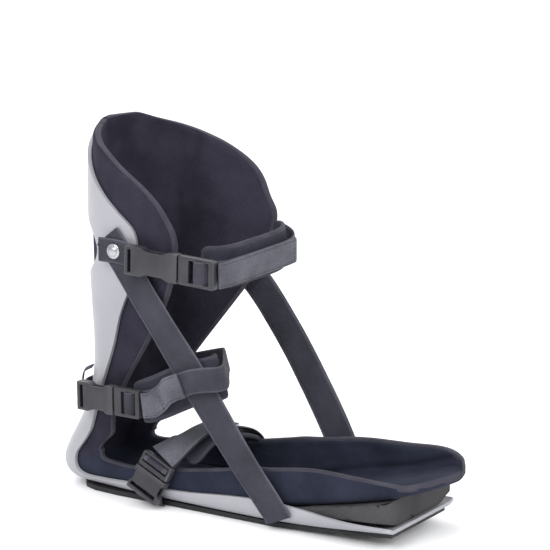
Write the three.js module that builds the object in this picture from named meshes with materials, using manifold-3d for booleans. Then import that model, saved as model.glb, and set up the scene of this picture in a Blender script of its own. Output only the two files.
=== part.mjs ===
// Ankle foot orthosis: a one-piece L-shaped calf and foot shell with a padded liner, a toe wedge,
// three buckled cross straps and two diagonal tension straps. Millimetres, +Z up, toes towards +X,
// buckles on the -Y side, origin under the ankle on the bottom plane of the outsole.
import * as THREE from 'three';
import { mergeVertices } from 'three/addons/utils/BufferGeometryUtils.js';
import Module from 'manifold-3d';

const wasm = await Module();
wasm.setup();

const GAP = 0.3;                 // clearance between neighbouring pieces
const SHELL_WALL = 3;            // moulded shell thickness
const FOAM = 8;                  // liner thickness
const SOLE = 4;                  // outsole thickness
const WEB = 1.8;                 // webbing thickness
const PAD = 6;                   // strap pad thickness
const WEDGE_START = 122;         // thin end of the toe wedge
const WEDGE_END = 259;           // thick end of the toe wedge
const RIVET = { x: 13, z: 215, face: 60.2, head: 5, shaft: 2.6 };
const VENT = { z: 212, halfWidth: 52, halfHeight: 33 };  // oval cutout in the back of the calf
const HEEL_FOCUS = { x: 12, z: 55 };  // the heel sections all point at this line

// Centreline of the shell's outer surface from the calf top round the heel to the toe:
// [x, z, half width, corner radius, shell depth, liner depth]
const STATIONS = [
  [-42, 311, 61, 61, 1, 3.6], [-42.5, 305, 61, 61, 1, 15.3], [-43, 299, 61, 61, 1.5, 35.4],
  [-43.4, 290, 61, 61, 8, 61.2], [-44, 275, 60.5, 60.5, 22, 86], [-44.4, 260, 60, 60, 39, 103.3],
  [-44.5, 245, 59.5, 59.5, 58, 114], [-44.5, 230, 59, 59, 74, 122], [-44.3, 208, 58, 58, 75, 119],
  [-44, 185, 56, 56, 66, 110], [-43.4, 160, 52.5, 52.5, 53, 94], [-42.6, 132, 48.5, 48.5, 42, 74],
  [-43.8, 106, 45, 45, 31, 57], [-48, 84, 43, 43, 25, 48], [-54.5, 66, 42, 42, 27, 49],
  [-63, 49, 41.5, 41.5, 31, 57], [-70.5, 34.5, 41, 41, 34, 62], [-73.8, 20.5, 41, 38, 31, 60],
  [-67, 9.6, 41, 32, 24, 54], [-52, 4.9, 41, 26, 15, 43], [-25, 4.3, 41.5, 20, 10.5, 32],
  [8, 4.3, 42.5, 15, 10, 26], [60, 4.3, 44.5, 13, 12, 32], [110, 4.3, 46.5, 13, 17, 41],
  [146, 4.6, 47.5, 13, 18.5, 46], [185, 6.8, 50, 13, 15, 45], [225, 10.8, 53.5, 13, 7, 40],
  [262, 14.9, 57, 13, 3, 38],
];
const HEEL_SEAM = 18;            // station where calf liner and foot liner meet
const SHELL_TOP = 2;             // station at the shell's top edge

// Foot liner ahead of the instep: [x, z, half width, corner radius, , depth]; it climbs the wedge
const LINER_TOE = [
  [128, 7, 47, 13, 0, 42], [146, 11.6, 47.5, 13, 0, 39.5], [185, 20.3, 48, 13, 0, 36.5],
  [225, 29, 50, 13, 0, 28.5], [250, 34.5, 49.5, 13, 0, 23.5], [270, 39.7, 43.5, 13, 0, 17.8],
  [284, 43.8, 32, 13, 0, 13.4], [293, 46.5, 18.5, 13, 0, 11],
];
const FOOT_LINER = [...STATIONS.slice(HEEL_SEAM - 2, 24), ...LINER_TOE];

const vec = (x, y, z) => new THREE.Vector3(x, y, z);

// ---- small geometry helpers ----

function closedBody(positions, triangles) {
  const geometry = new THREE.BufferGeometry();
  geometry.setAttribute('position', new THREE.Float32BufferAttribute(positions, 3));
  geometry.setIndex(triangles);
  return geometry;
}

// a plate between two grids of points, closed along all four borders
function plate(outside, inside) {
  const rows = outside.length;
  const columns = outside[0].length;
  const positions = [...outside, ...inside].flat().flatMap((p) => [p.x, p.y, p.z]);
  const out = (i, j) => i * columns + j;
  const inn = (i, j) => (rows + i) * columns + j;
  const triangles = [];
  const quad = (a, b, c, d) => triangles.push(a, b, c, a, c, d);
  for (let i = 0; i + 1 < rows; i++) {
    for (let j = 0; j + 1 < columns; j++) {
      quad(out(i, j), out(i, j + 1), out(i + 1, j + 1), out(i + 1, j));
      quad(inn(i, j), inn(i + 1, j), inn(i + 1, j + 1), inn(i, j + 1));
    }
    quad(out(i, 0), out(i + 1, 0), inn(i + 1, 0), inn(i, 0));
    quad(out(i + 1, columns - 1), out(i, columns - 1), inn(i, columns - 1), inn(i + 1, columns - 1));
  }
  for (let j = 0; j + 1 < columns; j++) {
    quad(out(0, j + 1), out(0, j), inn(0, j), inn(0, j + 1));
    quad(out(rows - 1, j), out(rows - 1, j + 1), inn(rows - 1, j + 1), inn(rows - 1, j));
  }
  return outward(closedBody(positions, triangles));
}

// a body through equal rings of points, with flat fans at both ends
function loft(rings) {
  const count = rings[0].length;
  const positions = rings.flat().flatMap((p) => [p.x, p.y, p.z]);
  const triangles = [];
  for (let i = 0; i + 1 < rings.length; i++) {
    for (let j = 0; j < count; j++) {
      const a = i * count + j;
      const b = i * count + ((j + 1) % count);
      triangles.push(a, b, b + count, a, b + count, a + count);
    }
  }
  const last = (rings.length - 1) * count;
  for (let j = 1; j + 1 < count; j++) {
    triangles.push(0, j + 1, j, last, last + j, last + j + 1);
  }
  return outward(closedBody(positions, triangles));
}

function signedVolume(geometry) {
  const p = geometry.attributes.position;
  const index = geometry.index;
  const [a, b, c] = [vec(), vec(), vec()];
  let sum = 0;
  for (let i = 0; i < index.count; i += 3) {
    a.fromBufferAttribute(p, index.getX(i));
    b.fromBufferAttribute(p, index.getX(i + 1));
    c.fromBufferAttribute(p, index.getX(i + 2));
    sum += a.dot(b.cross(c));
  }
  return sum;
}

function outward(geometry) {
  if (signedVolume(geometry) < 0) {
    const index = Array.from(geometry.index.array);
    for (let i = 0; i < index.length; i += 3) [index[i], index[i + 1]] = [index[i + 1], index[i]];
    geometry.setIndex(index);
  }
  return geometry;
}

function toManifold(geometry) {
  const bare = new THREE.BufferGeometry();
  bare.setAttribute('position', geometry.attributes.position.clone());
  if (geometry.index) bare.setIndex(geometry.index.clone());
  const merged = mergeVertices(bare, 1e-4);
  return new wasm.Manifold(new wasm.Mesh({
    numProp: 3,
    vertProperties: new Float32Array(merged.attributes.position.array),
    triVerts: new Uint32Array(merged.index.array),
  }));
}

function fromManifold(solid) {
  const mesh = solid.getMesh();
  return closedBody(Array.from(mesh.vertProperties), Array.from(mesh.triVerts));
}

const cut = (base, ...tools) => fromManifold(
  tools.reduce((rest, tool) => rest.subtract(toManifold(tool)), toManifold(base)));
const join = (base, ...others) => fromManifold(
  others.reduce((sum, other) => sum.add(toManifold(other)), toManifold(base)));

const box = (x0, x1, y0, y1, z0, z1) => new THREE.BoxGeometry(x1 - x0, y1 - y0, z1 - z0)
  .translate((x0 + x1) / 2, (y0 + y1) / 2, (z0 + z1) / 2);

const outline = (points) => new THREE.Shape(points.map(([x, y]) => new THREE.Vector2(x, y)));

function roundedOutline(x0, x1, half, radius) {
  const shape = new THREE.Shape();
  shape.moveTo(x0 + radius, -half);
  shape.lineTo(x1 - radius, -half).quadraticCurveTo(x1, -half, x1, -half + radius);
  shape.lineTo(x1, half - radius).quadraticCurveTo(x1, half, x1 - radius, half);
  shape.lineTo(x0 + radius, half).quadraticCurveTo(x0, half, x0, half - radius);
  shape.lineTo(x0, -half + radius).quadraticCurveTo(x0, -half, x0 + radius, -half);
  return shape;
}

const slab = (shape, z0, z1, bevel = 0.7) => new THREE.ExtrudeGeometry(shape, {
  depth: z1 - z0 - 2 * bevel, bevelEnabled: bevel > 0, bevelSize: bevel, bevelThickness: bevel,
  bevelOffset: -bevel, bevelSegments: 2, curveSegments: 5,
}).translate(0, 0, z0 + bevel);

// disc stack on the Y axis: profile as [radius, distance outward] pairs, on the near or far side
function turnedPin(profile, side, x, z) {
  const pin = new THREE.LatheGeometry(profile.map(([r, h]) => new THREE.Vector2(r, h)), 20);
  if (side < 0) pin.rotateX(Math.PI);
  return pin.translate(x, 0, z);
}

// ---- the trough that shell and liner share ----

function curveOf(stations, a, b) {
  return new THREE.CatmullRomCurve3(stations.map((s) => vec(s[a], 0, s[b])), false, 'catmullrom', 0.5);
}

// lean(station) makes the far wing deeper and the near wing shallower by that distance
function troughOf(stations, depthColumn, lean = () => 0) {
  const spine = curveOf(stations, 0, 1);
  const widths = curveOf(stations, 2, 3);
  const depths = curveOf(stations, depthColumn, depthColumn);
  const last = stations.length - 1;
  // point of the trough at a station number, share (-1 near edge .. +1 far edge) and inset
  return (station, share, inset) => {
    const u = THREE.MathUtils.clamp(station / last, 0, 1);
    const back = spine.getPoint(u);
    const { x: half, z: round } = widths.getPoint(u);
    const depth = Math.max(depths.getPoint(u).x + lean(station) * share, 0.6);
    let inX = Math.max(HEEL_FOCUS.x - back.x, 0);
    let inZ = Math.max(HEEL_FOCUS.z - back.z, 0);
    if (back.z >= HEEL_FOCUS.z) inZ = 0;
    const length = Math.hypot(inX, inZ);
    [inX, inZ] = [inX / length, inZ / length];
    const flat = half - round;
    const quarter = depth < round ? Math.acos(1 - depth / round) : Math.PI / 2;
    const wall = Math.max(depth - round, 0);
    const total = flat + quarter * round + wall;
    const along = Math.abs(share) * total;
    let [y, n, sideways, inwards] = [along, 0, 0, 1];
    if (along > flat) {
      const angle = Math.min((along - flat) / round, Math.PI / 2);
      [sideways, inwards] = [Math.sin(angle), Math.cos(angle)];
      y = flat + round * sideways;
      n = round * (1 - inwards);
    }
    const straight = Math.max(along - flat - round * Math.PI / 2, 0);
    n += straight;
    y += round > 40 ? 0.0038 * straight * straight : 0;
    y -= inset * sideways;
    n += inset * inwards;
    return vec(back.x + n * inX, Math.sign(share) * y, back.z + n * inZ);
  };
}

// rows fall on every half station, so neighbouring layers share them
function troughPlate(point, from, to, columns, inset, thickness) {
  const rows = [from];
  for (let station = Math.floor(from * 2 + 1.2) / 2; station < to - 0.1; station += 0.5) rows.push(station);
  rows.push(to);
  const grid = (depth) => rows.map((station) =>
    Array.from({ length: columns + 1 }, (_, j) => point(station, 2 * j / columns - 1, depth)));
  return plate(grid(inset), grid(inset + thickness));
}

// ---- ribbons: webbing, pads and tension straps ----

// a flat band along a smooth path; lift moves it outward from the path by that distance
function ribbon(points, across, width, thickness, lift = 0, steps = 28, round = 0) {
  const path = new THREE.CatmullRomCurve3(points.map((p) => vec(...p)), false, 'centripetal');
  const acrossAt = Array.isArray(across[0])
    ? new THREE.CatmullRomCurve3(across.map((p) => vec(...p)), false, 'centripetal') : null;
  const rings = [];
  for (let i = 0; i <= steps; i++) {
    const u = i / steps;
    const centre = path.getPointAt(u);
    const forward = path.getTangentAt(u);
    const side = (acrossAt ? acrossAt.getPoint(u) : vec(...across)).normalize();
    side.addScaledVector(forward, -side.dot(forward)).normalize();
    const up = forward.clone().cross(side).normalize();
    const ends = Math.min(i, steps - i);
    const half = width / 2 - (ends < round ? 2.2 * (1 - Math.sqrt(ends / round)) * round / 3 : 0);
    rings.push([[-half, -1], [half, -1], [half, 1], [-half, 1]].map(([s, t]) => centre.clone()
      .addScaledVector(side, s).addScaledVector(up, lift + t * thickness / 2)));
  }
  return loft(rings);
}

// moves a piece drawn flat (x along, y across, z out) onto the object
function placed(geometry, origin, along, out) {
  const x = vec(...along).normalize();
  const z = vec(...out);
  z.addScaledVector(x, -z.dot(x)).normalize();
  const y = z.clone().cross(x);
  geometry.applyMatrix4(new THREE.Matrix4().makeBasis(x, y, z).setPosition(...origin));
  return geometry;
}

// ---- side-release buckle, drawn flat ----

// socket half: strap bar at x = 0, mouth at the far end; the latch windows open to both sides
function socketHalf(length, half, height) {
  const waist = half - 2.2;
  const body = slab(outline([
    [0, -half], [length * 0.3, -half], [length * 0.4, -waist], [length * 0.72, -waist],
    [length * 0.82, -half], [length, -half], [length, half], [length * 0.82, half],
    [length * 0.72, waist], [length * 0.4, waist], [length * 0.3, half], [0, half],
  ]), 0, height);
  return cut(
    body,
    box(length * 0.32, length + 1, 3.4 - half, half - 3.4, 1.9, height - 1.9),
    box(length * 0.4, length * 0.72, -half - 1, half + 1, 1.9, height - 1.9),
    box(3.2, 6.4, 2.5 - half, half - 2.5, -1, height + 1),
  );
}

// plug half: a plate with two strap slots and a middle guide that runs into the socket
function plugHalf(start, length, reach, half, height) {
  const plateBody = slab(roundedOutline(start, start + length, half, 2.4), 1.2, height - 1.2);
  const guide = box(start - reach, start + 2, -1.2, 1.2, 2.6, height - 2.6);
  const slot = (share) => box(
    start + length * share, start + length * (share + 0.22), 2.8 - half, half - 2.8, -1, height + 1);
  return cut(join(plateBody, guide), slot(0.3), slot(0.64));
}

// one latch arm beside the guide; side is +1 or -1
function latchArm(start, reach, half, height, side) {
  const tip = start - reach + 1;
  const arm = outline([
    [start - GAP, side * (half - 7.2)], [start - GAP, side * (half - 4.9)],
    [tip + reach * 0.52, side * (half - 4.6)], [tip + reach * 0.5, side * (half - 3.9)],
    [tip + reach * 0.22, side * (half - 3.9)], [tip, side * (half - 5.8)], [tip, side * (half - 7.4)],
    [tip + reach * 0.5, side * (half - 7.4)],
  ]);
  const points = side > 0 ? arm.getPoints().reverse() : arm.getPoints();
  return slab(new THREE.Shape(points), 2.5, height - 2.5, 0);
}

// ---- the object ----

const group = new THREE.Group();
group.name = 'ankle_foot_orthosis';

function add(name, geometry, color, roughness = 0.9, metalness = 0) {
  const mesh = new THREE.Mesh(geometry, new THREE.MeshStandardMaterial({ color, roughness, metalness }));
  mesh.name = name;
  group.add(mesh);
}

const SHELL_GREY = 0xb4b5bd;
const SOLE_BLACK = 0x17171a;
const WEDGE_FOAM = 0x46474b;
const LINER_CLOTH = 0x2a2a36;
const WEBBING = 0x3c3c48;
const HOOK_TAB = 0x6c6d78;
const PAD_CLOTH = 0x35353f;
const BUCKLE = 0x33343b;
const STEEL = 0xaeb0b6;

// shell with the oval cutout in the back of the calf and one hole for each rivet
const shellPoint = troughOf(STATIONS, 4);
const shellBody = troughPlate(shellPoint, SHELL_TOP, STATIONS.length - 1, 24, 0, SHELL_WALL);
const oval = new THREE.Shape().absellipse(0, 0, VENT.halfHeight, VENT.halfWidth, 0, 2 * Math.PI);
const ovalTool = new THREE.ExtrudeGeometry(oval, { depth: 60, bevelEnabled: false, curveSegments: 20 })
  .applyMatrix4(new THREE.Matrix4().makeBasis(vec(0, 0, 1), vec(0, 1, 0), vec(-1, 0, 0)))
  .translate(0, 0, VENT.z);
const rivetHoles = [-1, 1].map((side) => turnedPin(
  [[0, 40], [RIVET.shaft + GAP, 40], [RIVET.shaft + GAP, 70], [0, 70]], side, RIVET.x, RIVET.z));
add('shell', cut(shellBody, ovalTool, ...rivetHoles), SHELL_GREY, 0.45);

// liner in two sewn parts that meet at the heel
const calfLean = (station) => 5 + 16 * Math.exp(-(((station - 3.5) / 2) ** 2));
const footLean = (station) => 3 + 2.7 * Math.exp(-(((station - 13) / 1.6) ** 2));
const calfPoint = troughOf(STATIONS, 5, calfLean);
const footPoint = troughOf(FOOT_LINER, 5, footLean);
const linerInset = SHELL_WALL + 0.7;
add('calf_liner', troughPlate(calfPoint, 0, HEEL_SEAM - 0.04, 20, linerInset, FOAM), LINER_CLOTH);
add('foot_liner', troughPlate(footPoint, 2.04, FOOT_LINER.length - 1, 20, linerInset, FOAM),
  LINER_CLOTH);

// outsole under the footplate, following the raised toe
function soleRings(stations) {
  return stations.map(([x, z, half]) => [[-half, z - SOLE], [half, z - SOLE], [half, z], [-half, z]]
    .map(([y, height]) => vec(x, y, height)));
}
add('outsole', loft(soleRings([
  [-51, SOLE, 13], [-48.5, SOLE, 22], [-43, SOLE, 29], [-31, SOLE, 34], [-8, SOLE, 36], [60, SOLE, 37.5],
  [110, SOLE, 38.5], [130, SOLE, 39], [146, SOLE + 0.25, 39.5], [165, SOLE + 1.1, 39.5],
  [185, SOLE + 2.4, 40], [205, SOLE + 4.3, 40.5], [225, SOLE + 6.4, 41], [250, SOLE + 9.2, 43],
  [259, SOLE + 10.2, 43.5],
])), SOLE_BLACK, 0.8);

// foam wedge between footplate and liner
function wedgeRing(share) {
  const x = WEDGE_START + (WEDGE_END - WEDGE_START) * share;
  const floor = new THREE.Vector3();
  const lid = new THREE.Vector3();
  for (let s = 20; s <= 27; s += 0.005) {
    const p = shellPoint(s, 0, SHELL_WALL + GAP);
    if (p.x <= x) floor.copy(p);
  }
  for (let s = 2; s <= FOOT_LINER.length - 1; s += 0.005) {
    const p = footPoint(s, 0, linerInset - GAP);
    if (p.x <= x) lid.copy(p);
  }
  const half = 34 + 10 * Math.min(1, share / 0.25) + 8 * Math.max(0, 2 * share - 1);
  floor.z += GAP;
  const low = floor.z + Math.min(6, (lid.z - floor.z) * 0.6);
  return [[-34, floor.z], [34, floor.z], [half, low], [half, lid.z], [-half, lid.z], [-half, low]]
    .map(([y, z]) => vec(x, y, z));
}
add('toe_wedge', loft([0, 0.2, 0.4, 0.6, 0.8, 0.95, 1].map(wedgeRing)), WEDGE_FOAM, 1);

// rivets with their washers, near and far
const face = RIVET.face;
for (const [word, side] of [['near', -1], ['far', 1]]) {
  add(`${word}_rivet`, turnedPin([
    [0, 55.4], [RIVET.shaft, 55.4], [RIVET.shaft, face + 5], [RIVET.head, face + 5],
    [RIVET.head, face + 5.8], [RIVET.head - 1.6, face + 7.2], [0, face + 7.5],
  ], side, RIVET.x, RIVET.z), STEEL, 0.35, 1);
}

// diagonal tension straps from the rivets to the footplate's edge, curled under it
const holed = (band, side) => cut(band, turnedPin(
  [[0, 40], [RIVET.shaft + GAP, 40], [RIVET.shaft + GAP, 80], [0, 80]], side, RIVET.x, RIVET.z));
const nearRun = [
  [4, -face - 1, 226], [RIVET.x, -face - 1, 215], [38, -63.4, 184], [62, -64.6, 154], [99, -63, 104],
  [128, -58, 59], [149, -53.4, 28], [157, -51.3, 15.5], [159.6, -50, 10],
];
const farRun = [
  [3, face + 1, 221], [RIVET.x, face + 1, 215], [40, 64.5, 195], [64, 68.6, 171], [95, 68.2, 132],
  [124, 64, 92], [148, 58, 58], [163, 54, 32], [169, 52.4, 20], [172, 51.6, 12],
];
const acrossNear = [
  [0.7, 0, 0.72], [0.7, 0, 0.72], [0.72, 0.02, 0.69], [0.76, 0.16, 0.63], [0.85, 0.08, 0.5],
  [0.92, 0, 0.4], [1, 0, 0.15],
];
const acrossFar = [[0.5, 0, 0.85], [0.78, 0, 0.62], [0.84, 0, 0.54], [0.92, 0, 0.4], [1, 0, 0.15]];
add('near_tension_strap', holed(ribbon(nearRun, acrossNear, 26, WEB, 0, 40), -1), WEBBING);
add('far_tension_strap', holed(ribbon(farRun, acrossFar, 29, WEB, 0, 40), 1), WEBBING);

// adds a buckle's four pieces at a place: strap bar origin, pull direction and outward direction
function addBuckle(word, spot) {
  const { socket, plug, half, height } = spot;
  const mouth = socket + GAP * 2;
  const reach = socket * 0.62;
  const put = (geometry) => placed(geometry, spot.origin, spot.along, spot.out);
  add(`${word}_buckle_socket`, put(socketHalf(socket, half, height)), BUCKLE, 0.4);
  add(`${word}_buckle_plug`, put(plugHalf(mouth, plug, reach, half, height)), BUCKLE, 0.4);
  add(`${word}_latch_arm_a`, put(latchArm(mouth, reach, half, height, 1)), BUCKLE, 0.4);
  add(`${word}_latch_arm_b`, put(latchArm(mouth, reach, half, height, -1)), BUCKLE, 0.4);
}

// upper calf strap
const UP = [0, 0, 1];
addBuckle('upper', {
  origin: [31, -66.9, 212.2], along: [0.994, -0.06, -0.03], out: [-0.06, -1, 0],
  socket: 52, plug: 35, half: 11.8, height: 8.5,
});
add('upper_strap_tab', holed(ribbon(
  [[-2, -face - 3.6, 215], [13, -face - 3.6, 215], [20, -face - 3.9, 214.5], [35, -65.7, 212.8]],
  UP, 20, WEB, 0, 12), -1), WEBBING);
add('upper_strap_far_tab', holed(ribbon(
  [[-2, face + 3.6, 213], [13, face + 3.7, 213], [18, face + 4, 212.8], [22, 65.4, 212.6], [30, 68, 212.2],
    [40, 70.4, 211.5]],
  [0, 0, -1], 20, WEB, 0, 20), 1), WEBBING);
const upperRun = [
  [90, -69.2, 210], [102, -70.1, 210], [113.5, -70.2, 210], [119, -64.5, 210], [120.6, -50, 210],
  [121, -25, 210], [121, 5, 210], [120.3, 24, 210], [116, 42, 210], [107.5, 56.5, 210.5], [95, 69, 211],
  [80, 78.4, 211], [55, 78.4, 211], [28, 73.6, 211.5],
];
add('upper_webbing', ribbon(upperRun, UP, 20, WEB, 0, 44), WEBBING);
const upperFlap = [
  [121.6, -76.6, 209.8], [123.4, -69, 210], [124.2, -51, 210.2], [124.3, -25, 210.3], [124.2, 5, 210.3],
  [124, 20, 210.3], [122.6, 36, 210.3],
];
add('upper_hook_tab', ribbon(upperFlap, UP, 21, WEB, 0, 20), HOOK_TAB);
const upperPadRun = [
  [97, -62, 212], [108, -60.5, 212], [114.4, -48, 212], [115.6, -25, 212], [115.8, 3, 212],
  [114.6, 21, 212], [109.5, 37, 212], [101, 48, 212], [92, 54, 212],
];
add('upper_pad', ribbon(upperPadRun, UP, 34, PAD, 0, 26, 3), PAD_CLOTH);

// ankle strap
const RISE = [-0.27, 0, 0.96];
addBuckle('ankle', {
  origin: [-31, -48.4, 87.4], along: [0.998, -0.06, 0.015], out: [-0.06, -1, 0],
  socket: 37, plug: 26, half: 12, height: 8.5,
});
const backShares = [-0.78, -0.55, -0.3, 0, 0.3, 0.55, 0.78];
const backRun = backShares.map((share) => shellPoint(13.15, share, -4.9).toArray());
add('ankle_back_strap', ribbon([
  [-20, -46.2, 87.6], [-31, -44.7, 86.8], ...backRun, [-28, 45.5, 84], [-8, 49, 88], [6, 49.8, 91.5],
], [UP, [0.1, 0, 1], [0.4, 0, 0.92], [0.1, 0, 1], RISE], 20, WEB, 0, 34), WEBBING);
const ankleRun = [
  [17, -50.3, 88], [30, -51.2, 88.8], [42, -53.6, 91.8], [58, -60.4, 101], [69, -67.6, 108.4],
  [86, -70.4, 117.2], [95, -73, 120.6], [104, -71.8, 122.6], [111, -64.5, 122.4], [110, -52, 121.4],
  [100, -34, 120], [87, -14, 118],
  [73, 8, 115.5], [59, 30, 111], [46, 45, 106], [28, 52.4, 100], [8, 53.4, 94], [-10, 52, 88.6],
];
const ankleAcross = [[0, 0, 1], [-0.3, 0, 0.9], RISE, RISE, RISE, RISE];
add('ankle_webbing', ribbon(ankleRun, ankleAcross, 20, WEB, 0, 50), WEBBING);
const ankleFlap = [
  [34.8, -58.3, 88.4], [43, -57.6, 89.8], [57.4, -62.8, 100], [68.2, -70.5, 108.6], [82, -72.6, 115.2],
];
const ankleFlapAcross = [[0, 0, 1], [-0.3, 0, 0.95], [-0.45, 0, 0.9]];
add('ankle_hook_tab', ribbon(ankleFlap, ankleFlapAcross, 21, WEB, 0, 22), HOOK_TAB);
const anklePadRun = [
  [24, -45.2, 86], [42, -47.6, 93.5], [64, -52.4, 104.5], [84, -54.5, 114], [98, -53.5, 118],
  [100, -44.5, 118.4], [93, -32, 117.8],
];
add('ankle_pad', ribbon(anklePadRun, [-0.33, 0, 0.94], 36, PAD, 0, 26, 3), PAD_CLOTH);
const keeperSpots = [
  [12.1, 1.2], [12.15, 4], [12.28, 7.6], [12.8, 8.2], [13.4, 7.8], [13.8, 7.1], [13.92, 4], [14, 1.2],
];
add('ankle_strap_keeper', ribbon(
  keeperSpots.map(([station, off]) => shellPoint(station, -0.42, -off).toArray()),
  [0.5, -0.87, 0], 11, 1.2, 0, 22), WEBBING);

// instep strap
addBuckle('instep', {
  origin: [30, -48.2, 9.5], along: [0.39, 0.2, 0.9], out: [0, -0.96, 0.27],
  socket: 21, plug: 13, half: 16, height: 8.5,
});
add('instep_anchor', ribbon(
  [[30, -38, 2.6], [30, -40.8, 3.7], [30.2, -43.8, 6.6], [30.6, -45.3, 9.5], [31, -45.4, 12]],
  [1, 0, -0.25], 28, WEB, 0, 12), WEBBING);
const instepRun = [
  [43.4, -40, 39.4], [48, -35.6, 45], [54.5, -26.6, 52], [61, -14, 58.4], [67, 0, 61], [72.5, 15, 59.6],
  [74.5, 30, 54.4], [75, 42, 45.4], [75, 48.4, 33.5], [75, 49.6, 22], [75, 48.8, 12.5], [75, 45.6, 6.2],
  [75, 40.8, 3],
];
const instepAcross = [[0.9, -0.2, -0.38], [0.92, -0.38, 0.1], [0.97, -0.22, 0.1], [1, 0, 0.05], [1, 0, 0]];
add('instep_webbing', ribbon(instepRun, instepAcross, 26, WEB, 0, 44), WEBBING);
const instepFlap = [
  [45.4, -45.4, 43.8], [49.6, -38.8, 48.4], [56.3, -28.4, 55.3], [62.2, -15, 61.6], [67.6, 0, 64.2],
  [72.4, 13, 63.2],
];
add('instep_hook_tab', ribbon(instepFlap, instepAcross.slice(0, 3), 28, WEB, 0, 18), HOOK_TAB);
const instepPadRun = [
  [51, -26, 43.6], [55.5, -18.5, 47.6], [60.5, -9, 51.8], [66, 2, 54.6], [70.5, 13.5, 53.4],
  [73.5, 24, 49.6], [75, 30.5, 44.8],
];
add('instep_pad', ribbon(instepPadRun, instepAcross.slice(0, 4), 40, PAD, 0, 22, 3), PAD_CLOTH);

export default group;
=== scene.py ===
import math
import bpy
import bmesh
import numpy as np
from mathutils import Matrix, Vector, noise


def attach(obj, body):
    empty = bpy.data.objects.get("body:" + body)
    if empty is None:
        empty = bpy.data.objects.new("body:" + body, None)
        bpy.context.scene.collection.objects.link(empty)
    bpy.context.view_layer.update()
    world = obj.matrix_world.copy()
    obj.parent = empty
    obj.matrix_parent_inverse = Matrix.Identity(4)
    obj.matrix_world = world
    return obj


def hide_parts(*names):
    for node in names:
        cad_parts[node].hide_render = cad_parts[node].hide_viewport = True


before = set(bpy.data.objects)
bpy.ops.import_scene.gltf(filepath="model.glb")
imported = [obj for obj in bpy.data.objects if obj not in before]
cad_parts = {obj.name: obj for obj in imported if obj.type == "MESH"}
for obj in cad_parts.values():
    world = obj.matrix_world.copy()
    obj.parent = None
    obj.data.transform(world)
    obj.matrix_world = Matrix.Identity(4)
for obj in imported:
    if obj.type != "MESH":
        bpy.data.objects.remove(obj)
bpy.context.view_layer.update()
print("frame loaded:", len(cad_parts), "nodes")

mm = 0.001


class Wire:  # one socket; sums and products of wires add Math nodes
    def __init__(self, mat, socket):
        self.mat, self.socket = mat, socket

    def math(self, operation, other, swap=False):
        pair = (other, self) if swap else (self, other)
        return self.mat.node("ShaderNodeMath", {"operation": operation}, {0: pair[0], 1: pair[1]})

    def __add__(self, other):
        return self.math("ADD", other)

    def __mul__(self, other):
        return self.math("MULTIPLY", other)

    def __sub__(self, other):
        return self.math("SUBTRACT", other)

    def __rsub__(self, other):
        return self.math("SUBTRACT", other, swap=True)

    __radd__, __rmul__ = __add__, __mul__


class Finish:  # a material with one Principled shader and a few ways to wire it
    def __init__(self, name, **settings):
        self.material = bpy.data.materials.new(name)
        self.material.use_nodes = True
        self.tree = self.material.node_tree
        self.shader = self.tree.nodes["Principled BSDF"]
        for socket, value in settings.items():
            self.shader.inputs[socket.replace("_", " ")].default_value = value

    def node(self, kind, settings=None, inputs=None, out=0):
        made = self.tree.nodes.new(kind)
        for key, value in (settings or {}).items():
            if key == "stops":
                for i, (place, colour) in enumerate(value):
                    stop = made.color_ramp.elements[i] if i < 2 else made.color_ramp.elements.new(place)
                    stop.position, stop.color = place, colour
            else:
                setattr(made, key, value)
        for key, value in (inputs or {}).items():
            if isinstance(value, Wire):
                self.tree.links.new(value.socket, made.inputs[key])
            else:
                made.inputs[key].default_value = value
        return Wire(self, made.outputs[out])

    def place(self, kind="Object"):
        return self.node("ShaderNodeTexCoord", out=kind)

    def axes(self, vector):
        split = self.node("ShaderNodeSeparateXYZ", None, {0: vector})
        return [Wire(self, split.socket.node.outputs[i]) for i in range(3)]

    def grain(self, vector, scale, detail=3.0, roughness=0.55):
        return self.node("ShaderNodeTexNoise", None,
                         {"Vector": vector, "Scale": scale, "Detail": detail, "Roughness": roughness})

    def remap(self, value, low, high, to0=0.0, to1=1.0):
        return self.node("ShaderNodeMapRange", {"clamp": True}, {0: value, 1: low, 2: high, 3: to0, 4: to1})

    def blendColour(self, factor, a, b):
        return self.node("ShaderNodeMix", {"data_type": "RGBA"}, {0: factor, 6: a, 7: b}, out=2)

    def feed(self, socket, wire):
        self.tree.links.new(wire.socket, self.shader.inputs[socket])

    def bump(self, height, strength, distance):
        self.feed("Normal", self.node("ShaderNodeBump", None,
                                      {"Strength": strength, "Distance": distance, "Height": height}))


studioLevel = 1.55  # how much brighter than white paper the studio lights a white surface


def tone(r, g, b, level=studioLevel):  # the colour seen in the studio, 0 to 255, as a linear base colour
    return tuple(((c / 255 + 0.055) / 1.055) ** 2.4 / level for c in (r, g, b)) + (1.0,)


def mouldedShell():
    f = Finish("mouldedShell", IOR=1.46, Coat_Weight=0.12, Coat_Roughness=0.25)
    p = f.place()
    cloud, speck = f.grain(p, 9), f.grain(p, 900, 2)
    tint = f.blendColour(f.remap(cloud, 0.35, 0.65), tone(176, 176, 184), tone(188, 188, 195))
    f.feed("Base Color", f.blendColour(f.remap(speck, 0.62, 0.78, 0, 0.25), tint, tone(150, 150, 160)))
    f.feed("Roughness", f.remap(f.grain(p, 45), 0.3, 0.7, 0.34, 0.46))
    f.bump(f.grain(p, 1600, 2) + f.grain(p, 60, 2) * 2.0, 0.10, 0.0004)
    return f.material


def soleRubber():
    f = Finish("soleRubber", IOR=1.5)
    p = f.place()
    f.feed("Base Color", f.blendColour(f.grain(p, 60), tone(20, 21, 24), tone(36, 37, 41)))
    f.feed("Roughness", f.remap(f.grain(p, 30), 0.3, 0.7, 0.6, 0.8))
    f.bump(f.grain(p, 1100), 0.25, 0.0004)
    return f.material


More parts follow.
